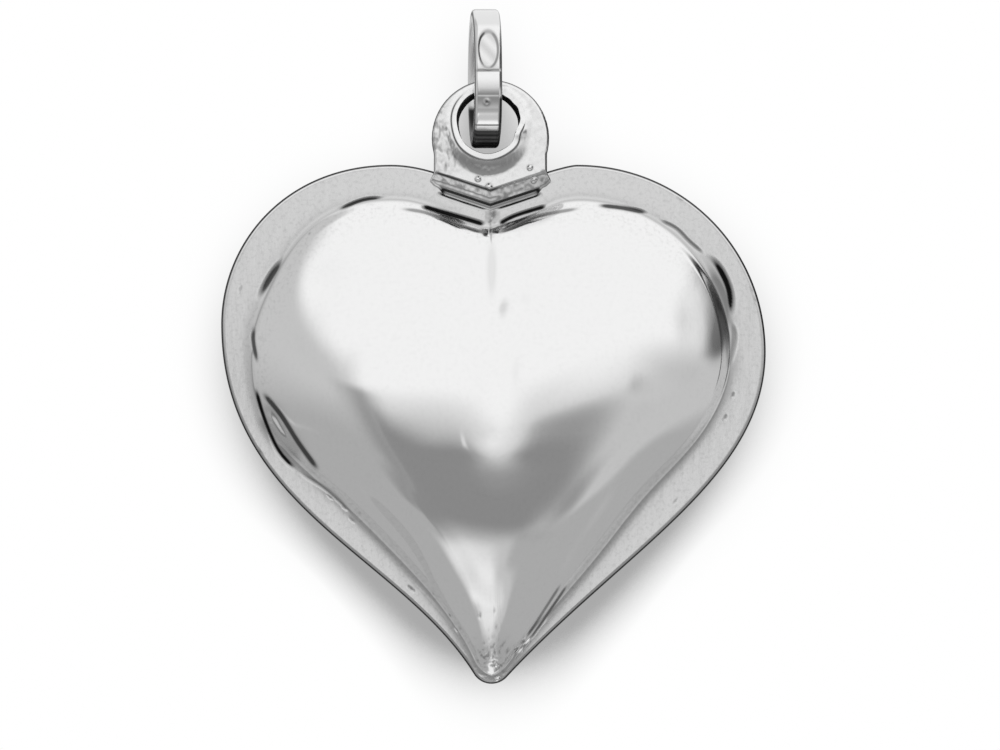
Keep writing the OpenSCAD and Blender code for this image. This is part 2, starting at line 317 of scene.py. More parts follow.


# Marks on the front half; the dark along the crease is painted dark reflection
MARKS = (
    # Left side of the crease, from the shoulder down, with painted dark reflections
    mark((-6.1, -7.21), (-4.94, -6.75), (-3.98, -6.67), half=0.06, dark=0.95, fade=0.35),
    mark((-7.87, -8.86), (-8.44, -9.63), (-9.02, -10.67), half=0.11, dark=0.9, fade=0.45),
    mark((-9.05, -11.5), (-9.17, -12.1), (-8.98, -13.1), half=0.07, dark=0.85, fade=0.35),
    mark((-9.1, -13.9), (-8.75, -15.1), (-8.2, -16.35), (-7.5, -17.15), half=0.07, dark=1, fade=0.15),
    mark((-8.85, -14.1), (-8.1, -15), (-7.4, -16.1), (-6.6, -17.2), half=0.09, dark=0.9, fade=0.15),
    mark((-8.6, -14.7), (-8.2, -15.45), (-7.75, -16.15), half=0.24, depth=0, slant=0.22, dark=0, fade=0.35),
    mark((-8.85, -14.3), (-8.15, -15.6), (-7.2, -16.9), half=0.38, depth=0, dark=0.3, fade=0.3),
    mark((-7.5, -17.15), (-6.3, -17.9), (-5.2, -18.95), half=0.07, depth=0.01, dark=0.5, fade=0.35),
    # Below the cleft
    mark((-2.75, -6.95), (-1.52, -7.32), (-0.2, -7.72), half=0.085, depth=0.015, dark=1, fade=0.12),
    mark((0.24, -7.7), (0.9, -7.36), (2.15, -6.97), half=0.07, depth=0.015, dark=1, fade=0.12),
    mark(
        (-3.6, -7.07), (-2.5, -7.24), (-1.2, -7.72), (-0.15, -8.03),
        half=0.06, depth=0.01, dark=0.6, fade=0.2,
    ),
    mark((0.2, -8.05), (0.8, -7.8), (1.8, -7.36), (3.5, -7.05), half=0.06, depth=0.01, dark=0.6, fade=0.2),
    mark((-2.1, -6.47), (-0.9, -6.88), (-0.12, -7.12), half=0.05, depth=0.015, dark=1, fade=0.15),
    mark((0.14, -7.1), (0.9, -6.86), (1.95, -6.5), half=0.05, depth=0.015, dark=1, fade=0.15),
    mark((0.05, -6.9), (0.02, -8.15), half=0.13, depth=-0.04, dark=0.25, fade=0.1),
    mark((0.02, -7.9), (0.0, -10.9), half=0.16, depth=0.015, dark=0.12, fade=0.5),
    # Right side, from the lobe down; the dark along the crease and in the broad crescent by it is painted dark
    # reflection
    mark((4.0, -6.94), (5.02, -7.05), (6.1, -7.28), half=0.075, dark=0.9, fade=0.25),
    mark((6.4, -7.5), (7.1, -7.85), (7.6, -8.35), (8.2, -8.86), half=0.06, depth=0.01, dark=0.55, fade=0.2),
    mark(
        (8.2, -8.9), (8.6, -9.9), (8.85, -10.9), (8.7, -12.1), (8.4, -13.4),
        half=0.32, depth=0, dark=0.6, fade=0.35,
    ),
    mark((8.3, -8.8), (8.8, -9.45), (9.15, -10.3), (9.2, -11.4), half=0.11, dark=1, fade=0.35),
    mark((9.2, -11.3), (9.33, -12.1), (9.05, -13.4), half=0.09, depth=0.01, dark=0.4, fade=0.3),
    mark((6.75, -16.2), (6.15, -16.86), (5.7, -17.5), half=0.12, depth=-0.03, dark=0, fade=0.3),
    mark((2.94, -21.5), (2.21, -22.59), (1.45, -23.7), half=0.045, depth=0.01, dark=0.75, fade=0.15),
    mark((2.7, -21.45), (2.0, -22.55), (1.3, -23.65), half=0.045, depth=0.01, dark=0.6, fade=0.2),
)
# Pits and beads of solder, as (x, z, radius)
PITS = (
    (-0.44, -22.71, 0.07), (0.13, -22.55, 0.06), (0.21, -23.17, 0.07), (-2.21, -21.9, 0.05),
    (-1.6, -22.71, 0.05), (-1.33, -23.28, 0.05), (-6.98, -8.02, 0.05), (-5.63, -18.59, 0.06),
    (-5.37, -19.05, 0.05), (9.29, -14.25, 0.05), (10.02, -10.21, 0.04), (10.15, -10.6, 0.03),
    (7.9, -7.05, 0.04), (7.3, -6.75, 0.03), (-6.2, -18.2, 0.04), (-8.9, -16.4, 0.04),
    (9.0, -15.1, 0.05), (7.1, -18.3, 0.04), (-3.1, -21.7, 0.05), (-9.7, -10.2, 0.04),
)
BEADS = (
    (0.21, -24.67, 0.1), (0.23, -25.17, 0.1), (1.33, -23.82, 0.09), (1.04, -24.16, 0.1), (0.62, -24.42, 0.08),
)
# Where the solder has left the skin rough, at the tip and on the seam below the cleft, as (x, z, half width,
# half length)
ROUGH = ((0.1, -24.3, 0.7, 0.75), (0.03, -7.4, 0.16, 0.75))
LUMP_DEPTH = 0.009
# A pit's half width and depth and a bead's height, in shares of their radius, and how dark they are:
# in the pit, and in a ring round the bead
PIT_HALF, PIT_DEPTH, PIT_DARK = 0.8, 0.25, 0.6
BEAD_H, BEAD_RING = 0.7, dict(dark=0.4, at=1.15, half=0.3)
# Darkening of rough skin, in its hollows and all over, and how fast a hollow darkens
HOLLOW_DARK, SKIN_DARK, HOLLOW_STEEP = 0.45, 0.15, 2.5


def rounded_line(points, steps=4):
    """A smooth line through the points."""
    pts = np.array(points, float)
    pts = np.vstack([2 * pts[0] - pts[1], pts, 2 * pts[-1] - pts[-2]])
    out = []
    for a, b, c, d in zip(pts, pts[1:], pts[2:], pts[3:]):
        out.extend(through(a, b, c, d, t) for t in np.arange(steps) / steps)
    return np.array(out + [pts[-2]])


def from_line(points, x, z):
    """Distance of each (x, z) from a line of points, its side (1 on the left of the line's way on), and the
    share of the line's length at which it lies."""
    best = np.full(np.shape(x), 1e9)
    along, side = np.zeros(np.shape(x)), np.ones(np.shape(x))
    points = rounded_line(points)
    lengths = np.hypot(*np.diff(points, axis=0).T)
    starts = np.cumsum(lengths) - lengths
    for (ax, az), (bx, bz), start, length in zip(points[:-1], points[1:], starts, lengths):
        t = np.clip(((x - ax) * (bx - ax) + (z - az) * (bz - az)) / length**2, 0, 1)
        away = np.hypot(x - ax - t * (bx - ax), z - az - t * (bz - az))
        nearer = away < best
        along = np.where(nearer, (start + t * length) / lengths.sum(), along)
        side = np.where(nearer, np.sign((bx - ax) * (z - az) - (bz - az) * (x - ax)), side)
        best = np.minimum(away, best)
    return best, side, along


def roughness_at(x, z, share, scale=5.5, seed=0):
    """Fine lumps, from -1 to 1, at the points where the share is above zero."""
    lumps = np.zeros(np.shape(x))
    for i in map(tuple, np.argwhere(share > 0.02)):
        spot = (float(x[i]) * scale, float(z[i]) * scale, seed)
        lumps[i] = noise.noise(spot) + 0.5 * noise.noise([2.1 * c for c in spot])
    return lumps * share


def marked(rings, marks=(), pits=(), beads=(), rough=()):
    """Cuts the marks into rings of (x, y, z, darkness) points whose outer side faces the front; the darkness is
    tarnish and painted shade.
    """
    grid = np.array(rings)
    x, z = grid[..., 0], grid[..., 2]
    depth = np.zeros(x.shape)
    dark = grid[..., 3]
    for row in marks:
        away, side, along = from_line(row["line"], x, z)
        share = hill(away, row["half"]) * ease(along / row["fade"]) * ease((1 - along) / row["fade"])
        depth += share * (row["depth"] + row["slant"] * side * away / row["half"])
        dark = darkest(dark, row["dark"] * np.minimum(1, 1.7 * share))
    for pit_x, pit_z, radius in pits:
        share = hill(np.hypot(x - pit_x, z - pit_z), PIT_HALF * radius)
        depth += PIT_DEPTH * radius * share
        dark = darkest(dark, PIT_DARK * share)
    for bead_x, bead_z, radius in beads:
        away = np.hypot(x - bead_x, z - bead_z) / radius
        depth -= BEAD_H * radius * np.sqrt(np.clip(1 - away**2, 0, 1))
        dark = darkest(dark, BEAD_RING["dark"] * hill(away - BEAD_RING["at"], BEAD_RING["half"]))
    for rough_x, rough_z, width, length in rough:
        share = hill(x - rough_x, width) * hill(z - rough_z, length)
        lumps = roughness_at(x, z, share)
        depth -= LUMP_DEPTH * lumps
        dark = darkest(dark, HOLLOW_DARK * ease(-lumps * HOLLOW_STEEP) + SKIN_DARK * share)
    grid[..., 1] += depth
    grid[..., 3] = dark
    return list(grid)


EDGE_RINGS, FLANGE_RINGS, WALL_RINGS, CROWN_RINGS, INNER_RINGS = 9, 26, 44, 52, 8
# The rings close up for the wall from this share of the flange to this many wall widths inside the crease
WALL_FROM, WALL_TO = 0.35, 1.7


def crown_ring(share):
    """A ring of the crown, with its soft forms."""
    ring = ring_points(crown_reach(share), SHEET_T + section_rise(share))
    ring[:, 1] -= die_forms(ring[:, 0], ring[:, 2], crown_reach(share) / SPOKE_CREASE)
    return ring


def half_rings():
    """The rings round the section of one struck half, from the joint face round the edge to the crown."""
    rings = [ring_points(SPOKE_OUT, 0.0)]
    for a in np.linspace(0, 90, EDGE_RINGS):
        turn = math.radians(a)
        inset = EDGE_ROUND * (1 - math.cos(turn)) / SPOKE_SQUARE
        # The rim's edge is painted dark, as dark reflection
        dark = RIM_PAINTED_SHADE * (1 - float(ease((a - 55) / 25)))
        rings.append(ring_points(SPOKE_OUT - inset, SHEET_T - EDGE_ROUND * (1 - math.sin(turn)), dark))
    flange_in = SPOKE_OUT - EDGE_ROUND / SPOKE_SQUARE
    wall_out = mix(SPOKE_CREASE, flange_in, WALL_FROM)
    wall_in = SPOKE_CREASE - WALL_TO * WALL_W / SPOKE_SQUARE
    for t in np.linspace(0, 1, FLANGE_RINGS)[1:]:
        at = mix(flange_in, wall_out, t)
        rings.append(ring_points(at, SHEET_T + section_rise(at / SPOKE_CREASE)))
    for t in np.linspace(0, 1, WALL_RINGS)[1:]:
        at = mix(wall_out, wall_in, t)
        from_crease = (at - SPOKE_CREASE) * SPOKE_SQUARE
        ring = crown_ring(at / SPOKE_CREASE)
        # The upper part of the crease is painted dark, as dark reflection
        ring[:, 3] = CREASE_PAINTED_SHADE * hill(from_crease, CREASE_ROUND) * ease((SPOKE_DIR[:, 1] - 0.1) / 0.5)
        rings.append(ring)
    for t in np.linspace(0, 1, CROWN_RINGS)[1:-1]:
        rings.append(crown_ring(wall_in / SPOKE_CREASE * math.cos(t * math.pi / 2)))
    return rings


def inner_rings():
    """The rings of the inner face, from the crown back out to the joint face."""
    rings = []
    for a in np.linspace(math.pi / 2, 0, INNER_RINGS + 1)[1:]:
        share = math.cos(a)
        rise = section_rise(share) * (1 - 2 * SHEET_T / DOME_H)
        rings.append(ring_points(crown_reach(share) - SHEET_T * share, rise))
    return rings


def loft(name, rings, caps=(), turned=False):
    """A mesh from rings of points, joined in a loop; caps are (ring index, middle point) pairs. A turned one
    has its faces wound the other way."""
    count = len(rings[0])
    verts = [tuple(p[:3]) for ring in rings for p in ring]
    dark = [p[3] for ring in rings for p in ring]
    faces = []
    cap_rings = {index for index, _ in caps}
    for r in range(len(rings)):
        after = (r + 1) % len(rings)
        if r in cap_rings and after in cap_rings:
            continue
        for i in range(count):
            j = (i + 1) % count
            faces.append((r * count + i, r * count + j, after * count + j, after * count + i))
    for index, middle in caps:
        verts.append(tuple(middle))
        dark.append(0.0)
        base = index * count
        outward = index == min(cap_rings)
        for i in range(count):
            j = (i + 1) % count
            pair = (base + i, base + j) if outward else (base + j, base + i)
            faces.append((*pair, len(verts) - 1))
    if turned:
        faces = [face[::-1] for face in faces]
    mesh = bpy.data.meshes.new(name)
    mesh.from_pydata([(x * MM, y * MM, z * MM) for x, y, z in verts], [], faces)
    mesh.polygons.foreach_set("use_smooth", [True] * len(mesh.polygons))
    mesh.attributes.new("tarnish_and_painted_shade", "FLOAT", "POINT").data.foreach_set("value", dark)
    mesh.update()
    piece = bpy.data.objects.new(name, mesh)
    bpy.context.scene.collection.objects.link(piece)
    return piece


def turned_back(rings):
    """The same rings seen from the back: mirrored through the middle plane, with the winding kept outward."""
    return [(ring * (1, -1, 1, 1))[::-1] for ring in rings]


def heart_half(name, back):
    outer, inner = half_rings(), inner_rings()
    if back:
        rings = turned_back(outer + inner)
    else:
        rings = marked(outer, MARKS, PITS, BEADS, ROUGH) + inner
    facing = 1 if back else -1
    top = CROWN_H + die_forms(0, CROWN_Z, 0)
    caps = (
        (len(outer) - 1, (0, facing * (SHEET_T + top), CROWN_Z)),
        (len(outer), (0, facing * (DOME_H - 2 * SHEET_T), CROWN_Z)),
    )
    return loft(name, rings, caps, turned=True)


# Sizes of the eyelet: the hole, the disc round it, the neck, and the foot, which is a strip along the V of
# the cleft with a step below it
EYE_R, EYE_X = 1.2, -0.13
EYE_DROP = 0.992
EYE_Z = ring_low[2] + EYE_DROP
BACK_EYE_DROP = 0.12
DISC_R, DISC_X, DISC_DROP = 2.25, -0.04, 0.62
DISC_Z = EYE_Z - DISC_DROP
NECK_HALF = 2.17
FOOT_HALF, FOOT_SLOPE = 2.54, 0.33
STRIP_LOW, STEP_LOW, STEP_HALF, STEP_SLANT = -0.58, -0.79, 2.05, 0.3
# The foot's ends, by the drop below the V: from where and over how much they widen, from where and over how
# much they draw in again, and how far
FOOT_WIDENS, FOOT_DRAWS_IN, FOOT_CUT = (0.12, 0.16), (0.3, 0.28), 0.36
# Heights of a ply's face above the middle plane, and the most that it may stand
DISC_H, NECK_H, STRIP_H, STEP_H, MOST_H = 0.26, 0.7, 0.58, 0.4, 0.85
# The collar round the hole, above it and below it, and the lip, which ends at these heights right and left of
# the hole, in shares of its radius
COLLAR_FROM, COLLAR_W, COLLAR_H = 0.2, (0.2, 0.72), (0.01, 0.17)
LIP_H, LIP_ENDS = 0.06, (-0.15, 0.65)
# How far the lip's crest stands out from the hole, and how much more so below it, and where the lip falls off
CREST_AWAY, CREST_MORE, LIP_FALL = 0.12, 0.1, (0.07, 0.06)
# Painted shade in the crease behind the lip, a crescent of painted shade and one of rough skin below the hole:
# how dark, the middle and half width in degrees, and the distance from the crest with its half width
LIP_CREASE_SHADE = dict(dark=0.85, away=0.04, half=0.035)
CRESCENT_SHADE = dict(dark=0.35, at=265, turn=55, away=0.3, half=0.16)
ROUGH_CRESCENT = dict(dark=0.8, at=262, turn=50, away=0.35, half=0.25)
# Where the front hole is worn, ragged, and filled with solder, as (height, degrees, half width in degrees)
HOLE_WEAR = ((0.05, 25, 25), (0.06, 140, 35))
RAGGED, SOLDER_IN = (0.012, 28, 32), (0.1, -19, 13)
# The back ply's hole is smaller by this
BACK_HOLE_LESS = 0.06
# A lump of solder right of the hole, and the height of the fine lumps of the rough skin
LUMP = dict(x=1.2, z=-0.38, r=0.24, height=0.06)
PLY_LUMPS = 0.016
# Painted shade along the foot's steps: where it meets the disc, at the strip's lower edge and at the step's;
# and darkening on the strip's right part and at its ends. How dark, the place along the V's height with its
# half width, and how fast it is full.
FOOT_TOP_SHADE = dict(dark=0.9, at=-0.03, half=0.05, full=1.5, right=0.5)
STRIP_EDGE_SHADE = dict(dark=0.97, half=0.06, full=1.6)
STEP_EDGE_SHADE = dict(dark=0.95, above=0.05, half=0.055)
STRIP_RIGHT = 0.25
STRIP_ENDS = dict(dark=0.75, inside=0.1, half=0.12, at=-0.32, half_up=0.15)
# Darkening of the ply's rough skin, all over and in its hollows
PLY_SKIN, PLY_HOLLOW = 0.12, 0.35
# The hole's wall is set back inside and painted black, as shade
WALL_BACK, HOLE_WALL_SHADE = 0.12, 0.95
# The wall's profile, as (how far back, share of the face's height)
WALL = ((WALL_BACK, 0), (WALL_BACK, 0.4), (0.03, 0.55), (0, 0.7), (0, 0.85), (0, 0.95))
EYE_RAYS, EYE_STEPS = 460, 84
EYE_EDGE = 0.13
SOLDER_BEADS = ((-0.52, -5.94, 0.1), (-0.1, -6.24, 0.12), (1.48, -5.5, 0.1), (1.63, -5.98, 0.1))


def foot_height(x, z):
    """How far a point lies above the V of the cleft, along which the foot is soldered."""
    return z - (CLEFT_Z + FOOT_SLOPE * np.abs(x - DISC_X))


def inside_ply(x, z):
    u, v = np.abs(x - DISC_X), foot_height(x, z)
    in_disc = u**2 + (z - DISC_Z) ** 2 < DISC_R**2
    in_neck = (z < DISC_Z) & (v > 0) & (u < NECK_HALF)
    (widens, widen_soft), (draws_in, draw_soft) = FOOT_WIDENS, FOOT_DRAWS_IN
    foot_half = mix(NECK_HALF, FOOT_HALF, ease((-v - widens) / widen_soft))
    foot_half = foot_half - FOOT_CUT * ease((-v - draws_in) / draw_soft)
    in_strip = (v <= 0) & (v > STRIP_LOW) & (u < foot_half)
    step_low = mix(STRIP_LOW, STEP_LOW, ease((STEP_HALF - u) / STEP_SLANT))
    in_step = (v <= STRIP_LOW) & (v > step_low) & (u < STEP_HALF)
    return in_disc | in_neck | in_strip | in_step


def ply_reach(angles, hole_z):
    """Distance from the hole's centre to the ply's outline at each angle, found in steps of 0.01 mm."""
    r = np.full(angles.shape, EYE_R)
    for _ in range(500):
        inside = inside_ply(EYE_X + r * np.cos(angles), hole_z + r * np.sin(angles))
        r = np.where(inside, r + 0.01, r)
    weights = np.hanning(7)[1:-1]
    padded = np.concatenate([r[-2:], r, r[:2]])
    return np.convolve(padded, weights / weights.sum(), mode="valid")


def around(angles, at, width):
    """A hill over the angles, in degrees, that peaks at one of them."""
    return hill((np.degrees(angles) - at + 180) % 360 - 180, width)


def hole_radius(angles, back):
    """The hole was pierced by hand: it is a little uneven, with a lump of solder in its right side."""
    waves = 0.012 * np.sin(3 * angles + 1) + 0.008 * np.sin(7 * angles)
    if back:
        return EYE_R - BACK_HOLE_LESS + waves
    ragged, *rag_place = RAGGED
    solder, *solder_place = SOLDER_IN
    ragged = ragged * np.sin(17 * angles) * around(angles, *rag_place)
    worn = sum(height * around(angles, *place) for height, *place in HOLE_WEAR)
    return EYE_R + waves + ragged + worn - solder * around(angles, *solder_place)


def collar_and_lip(angles, away):
    """What the collar and the lip add to the face's height, with the painted shade and rough skin they have."""
    down = np.clip(0.5 - np.sin(angles) / 2, 0, 1)
    height = mix(*COLLAR_H, down**2) * ease(1 - (away - COLLAR_FROM) / mix(*COLLAR_W, down**2))
    lip_end = mix(*LIP_ENDS, ease(0.5 - np.cos(angles)))
    lip = ease((lip_end - np.sin(angles) + 0.3) / 0.6)
    from_crest = away - CREST_AWAY - CREST_MORE * down
    height = height + LIP_H * lip * ease((LIP_FALL[0] - from_crest) / LIP_FALL[1])
    # Painted shade in the crease behind the lip and in a crescent below the hole
    crease = LIP_CREASE_SHADE["dark"] * lip * hill(from_crest - LIP_CREASE_SHADE["away"], LIP_CREASE_SHADE["half"])
    crescent, rough = (
        row["dark"] * around(angles, row["at"], row["turn"]) * hill(from_crest - row["away"], row["half"])
        for row in (CRESCENT_SHADE, ROUGH_CRESCENT)
    )
    return height, darkest(crease, crescent), rough


def ply_face(x, z, angles, away):
    """Height of a ply's outer face, and its darkness, painted shade and the rough skin's darkening, at a
    distance from the edge of its hole.
    """
    v = foot_height(x, z)
    left = ease((EYE_X - 0.9 - x) / 0.5)
    right = ease((x - 0.1) / 0.3)
    strip_share = ease(0.5 - v / 0.09)
    step_share = ease((STRIP_LOW + 0.04 - v) / 0.07)

    raised, lip_shade, rough_collar = collar_and_lip(angles, away)
    face = mix(DISC_H, NECK_H, np.clip((DISC_Z + 2 - z) / 3.9, 0, 1)) + raised
    face = face + LUMP["height"] * hill(np.hypot(x - EYE_X - LUMP["x"], z - EYE_Z - LUMP["z"]), LUMP["r"])
    face = mix(face, STRIP_H + 0.05 * (1 - right) * ease((v + 0.5) / 0.2), strip_share)
    face = mix(face, STEP_H, step_share)

    rough_disc = mix(0.25, 1, left) * ease((z - DISC_Z + 1.6) / 0.5) * ease((away - 0.25) / 0.2)
    rough_strip = strip_share * ease((v - STRIP_LOW + 0.05) / 0.1) * mix(0.6, 0.9, right)
    rough = darkest(rough_disc, rough_collar, rough_strip)
    lumps = roughness_at(x * 1.5, z * 0.8, rough, scale=3.6, seed=3)

    foot_top = np.minimum(1, FOOT_TOP_SHADE["full"] * hill(v - FOOT_TOP_SHADE["at"], FOOT_TOP_SHADE["half"]))
    strip_edge = np.minimum(1, STRIP_EDGE_SHADE["full"] * hill(v - STRIP_LOW, STRIP_EDGE_SHADE["half"]))
    step_edge = hill(v - STEP_LOW - STEP_EDGE_SHADE["above"], STEP_EDGE_SHADE["half"]) * step_share
    end = hill(np.abs(x - DISC_X) - FOOT_HALF + STRIP_ENDS["inside"], STRIP_ENDS["half"])
    # Painted shade at the step edges, darker on the strip's right part and ends, and the rough skin's darkening
    dark = darkest(
        lip_shade,
        FOOT_TOP_SHADE["dark"] * foot_top * mix(1, FOOT_TOP_SHADE["right"], right),
        STRIP_EDGE_SHADE["dark"] * strip_edge,
        STEP_EDGE_SHADE["dark"] * step_edge,
        STRIP_RIGHT * strip_share * (1 - step_share) * right,
        STRIP_ENDS["dark"] * end * hill(v - STRIP_ENDS["at"], STRIP_ENDS["half_up"]),
        (PLY_SKIN + PLY_HOLLOW * ease(-lumps * HOLLOW_STEEP)) * rough**1.5,
    )
    return face + PLY_LUMPS * lumps, dark


def eyelet_ply(name, back):
    """One ply: rings run from the middle plane up the hole's wall, over the face and down round the rim."""
    angles = np.arange(EYE_RAYS) * 2 * math.pi / EYE_RAYS
    hole_z = EYE_Z - (BACK_EYE_DROP if back else 0)
    reach = ply_reach(angles, hole_z)
    hole = hole_radius(angles, back)

    def spot(r):
        return EYE_X + r * np.cos(angles), hole_z + r * np.sin(angles)

    def ring_at(r, depth, dark):
        x, z = spot(r)
        return np.column_stack([x, -np.broadcast_to(depth, x.shape), z, np.broadcast_to(dark, x.shape)])

    def floor_at(r):
        return SHEET_T * ease((0.06 - foot_height(*spot(r))) / 0.04)

    def face_at(away):
        return ply_face(*spot(hole + away), angles, away)

    top, _ = face_at(np.zeros(EYE_RAYS))
    # The hole's wall is painted black as shade
    rings = [ring_at(hole + back_off, top * t, HOLE_WALL_SHADE) for back_off, t in WALL]
    for k in range(EYE_STEPS + 1):
        away = (reach - EYE_EDGE - hole) * k / EYE_STEPS
        depth, dark = face_at(away)
        rings.append(ring_at(hole + away, np.minimum(depth, MOST_H), dark))
    last_depth, last_dark = face_at(reach - EYE_EDGE - hole)
    floor = floor_at(reach)
    edge_h = np.minimum(EYE_EDGE, 0.6 * (last_depth - floor))
    above_step = ease((foot_height(*spot(reach)) + 0.5) / 0.2)
    # Painted shade on the ply's rim: dark from a turn of 30 degrees, less so below the step, and grey under the
    # rim and underneath
    for turn in (18, 36, 54, 72, 90):
        t = math.radians(turn)
        rim_shade = 0.95 * ease((turn - 30) / 30) * mix(0.1, 1, above_step)
        depth = last_depth - (1 - math.cos(t)) * edge_h
        rings.append(ring_at(reach - EYE_EDGE + EYE_EDGE * math.sin(t), depth, darkest(last_dark, rim_shade)))
    rings.append(ring_at(reach, mix(floor, last_depth - edge_h, 0.8), 0.3))
    rings.append(ring_at(reach, floor, 0.1))
    for k in (0.66, 0.33):
        r = mix(hole + WALL_BACK, reach, k)
        rings.append(ring_at(r, floor_at(r), 0.5))
    if back:
        rings = turned_back(rings)
    else:
        # The beads lie on the face, and not on the inner part of the hole's wall or underneath
        rings[3:-4] = marked(rings[3:-4], beads=SOLDER_BEADS)
    return loft(name, rings, turned=True)


BAND_T, BAND_W, BAND_CORNER = 0.6, 1.05, 0.16
CORNER_POINTS, BAND_STEP = 8, 0.035
RING_YAW = 3.2
RING_STEPS = 400
# Flats filed on the ring's outer side, as (degrees above the front, how far the ring stands out there)
FLATS = (
    (-180, 0), (-90, 0), (-62, 0.02), (-39.5, 0.13), (-30, 0.1), (-26, 0.06), (-16, 0), (-14.5, 0.01),
    (4.5, -0.15), (6.5, -0.12), (45, -0.01), (90, 0), (180, 0),
)
# A plain oval punch on the front of the ring, with nothing in it: angle, half height and half width, depth, and
# how dark it is round its rim and mottled on its floor
PUNCH = dict(at=25, half_h=0.8, half_w=0.38, depth=0.08, rim_shade=0.5, rim=0.14, floor=0.16, mottle=0.1)
# The soldered seam and a crack, with angles and half widths in degrees, and a pit, with its half width in mm
SEAM = dict(at=5.2, half=0.7, depth=0.02, dark=0.25)
PIT = dict(at=-20.5, across=-0.07, half=0.09, depth=0.05, dark=0.9)
CRACK = dict(at=-41.5, half=0.8, depth=0.02, dark=0.75)
# Painted light on the band: dark reflection on its edges, grey reflection on its upper part with a dark stripe
# at the top, and painted shade on its low part, on the right of the low part, and low on its sides and inside.
# Angles are above the front, each with how soft that end is.
EDGE_REFLECTION = dict(dark=0.95, width=0.05, soft=0.035)
UPPER_REFLECTION = dict(dark=0.13, angles=(46, 100), soft=(6, 10))
TOP_STRIPE_REFLECTION = dict(dark=0.9, at=90, half=10)
LOW_SHADE = dict(dark=0.95, ripple=0.05, angles=(-110, -45.5), soft=(10, 3))
LOW_RIGHT_SHADE = dict(dark=0.97, across=0.38, across_soft=0.06, down=0.7, soft=0.15)
LOW_INSIDE_SHADE = dict(dark=0.98, down=0.95, soft=0.25, front_soft=0.3)


def ring_section(half_t, half_w, corner):
    """A band's section, as (radial, sideways) offsets: a rectangle with rounded corners and divided sides."""
    points = []
    for out, across, start in (
        (half_t - corner, half_w - corner, 0),
        (-half_t + corner, half_w - corner, 90),
        (-half_t + corner, -half_w + corner, 180),
        (half_t - corner, -half_w + corner, 270),
    ):
        for a in np.radians(np.linspace(start, start + 90, CORNER_POINTS)):
            points.append((out + corner * math.cos(a), across + corner * math.sin(a)))
    divided = []
    for here, after in zip(points, points[1:] + points[:1]):
        pieces = max(1, round(math.dist(here, after) / BAND_STEP))
        for k in range(pieces):
            divided.append(mix(np.array(here), np.array(after), k / pieces))
    return np.array(divided)


def between_angles(angle, row):
    """1 between a row's two angles, and 0 beyond them, with the row's soft ends in between."""
    (low, high), (soft_low, soft_high) = row["angles"], row["soft"]
    return ease((angle - low) / soft_low) * ease((high - angle) / soft_high)


def band_at(angle, out, across):
    """Distance from the ring's middle and darkness of the band's section at an angle above the front: dark
    joints, the punch, and painted shade and reflections.
    """
    outer = ease(out / 0.1)
    punch_up, pit_up = (RING_R * math.radians(angle - spot["at"]) for spot in (PUNCH, PIT))
    punch = np.hypot(punch_up / PUNCH["half_h"], across / PUNCH["half_w"])
    seam = hill(angle - SEAM["at"], SEAM["half"]) * outer
    pit = hill(np.hypot(pit_up, across - PIT["across"]), PIT["half"]) * outer
    crack = hill(angle - CRACK["at"], CRACK["half"]) * outer
    r = RING_R - BAND_T / 2 + out + outer * np.interp(angle, *np.array(FLATS).T)
    r = r - PUNCH["depth"] * ease((1.1 - punch) / 0.25) * outer
    r = r - SEAM["depth"] * seam - PIT["depth"] * pit - CRACK["depth"] * crack

    z = r * math.sin(math.radians(angle))
    front = (r * math.cos(math.radians(angle))).min()
    edges = ease((np.abs(across) - BAND_W / 2 + EDGE_REFLECTION["width"]) / EDGE_REFLECTION["soft"])
    punch_floor = PUNCH["floor"] + PUNCH["mottle"] * np.sin(9 * across + angle / 3)
    low_dark = LOW_SHADE["dark"] + LOW_SHADE["ripple"] * math.sin(angle * 0.9)
    low_right = ease((across - LOW_RIGHT_SHADE["across"]) / LOW_RIGHT_SHADE["across_soft"])
    low_right = low_right * ease((-z - LOW_RIGHT_SHADE["down"]) / LOW_RIGHT_SHADE["soft"])
    low_inside = ease((-z - LOW_INSIDE_SHADE["down"]) / LOW_INSIDE_SHADE["soft"])
    # Dark seam, pit, crack and punch, painted reflections on the edges and upper part, and painted shade low
    # down
    dark = darkest(
        EDGE_REFLECTION["dark"] * edges * ease(out / 0.15),
        SEAM["dark"] * seam * ease((0.1 - across) / 0.2),
        PIT["dark"] * pit,
        CRACK["dark"] * crack,
        PUNCH["rim_shade"] * hill(punch - 1.0, PUNCH["rim"]) * outer,
        punch_floor * ease((1 - punch) / 0.2) * outer,
        UPPER_REFLECTION["dark"] * between_angles(angle, UPPER_REFLECTION) * outer,
        TOP_STRIPE_REFLECTION["dark"] * hill(angle - TOP_STRIPE_REFLECTION["at"], TOP_STRIPE_REFLECTION["half"]) * outer,
        low_dark * between_angles(angle, LOW_SHADE) * outer,
        LOW_RIGHT_SHADE["dark"] * low_right * outer,
        LOW_INSIDE_SHADE["dark"] * low_inside * (1 - outer * ease(front / LOW_INSIDE_SHADE["front_soft"])),
    )
    return r, dark


def jump_ring():
    yaw = math.radians(RING_YAW)
    out, across = ring_section(BAND_T / 2, BAND_W / 2, BAND_CORNER).T
    rings = []
    for i in range(RING_STEPS):
        angle = 360 * i / RING_STEPS - 180
        r, dark = band_at(angle, out, across)
        y, z = -r * math.cos(math.radians(angle)), r * math.sin(math.radians(angle))
        x = RING_X + across * math.cos(yaw) - y * math.sin(yaw)
        y = across * math.sin(yaw) + y * math.cos(yaw)
        rings.append(np.column_stack([x, y, RING_Z + z, dark]))
    return loft("jump_ring_polished", rings)


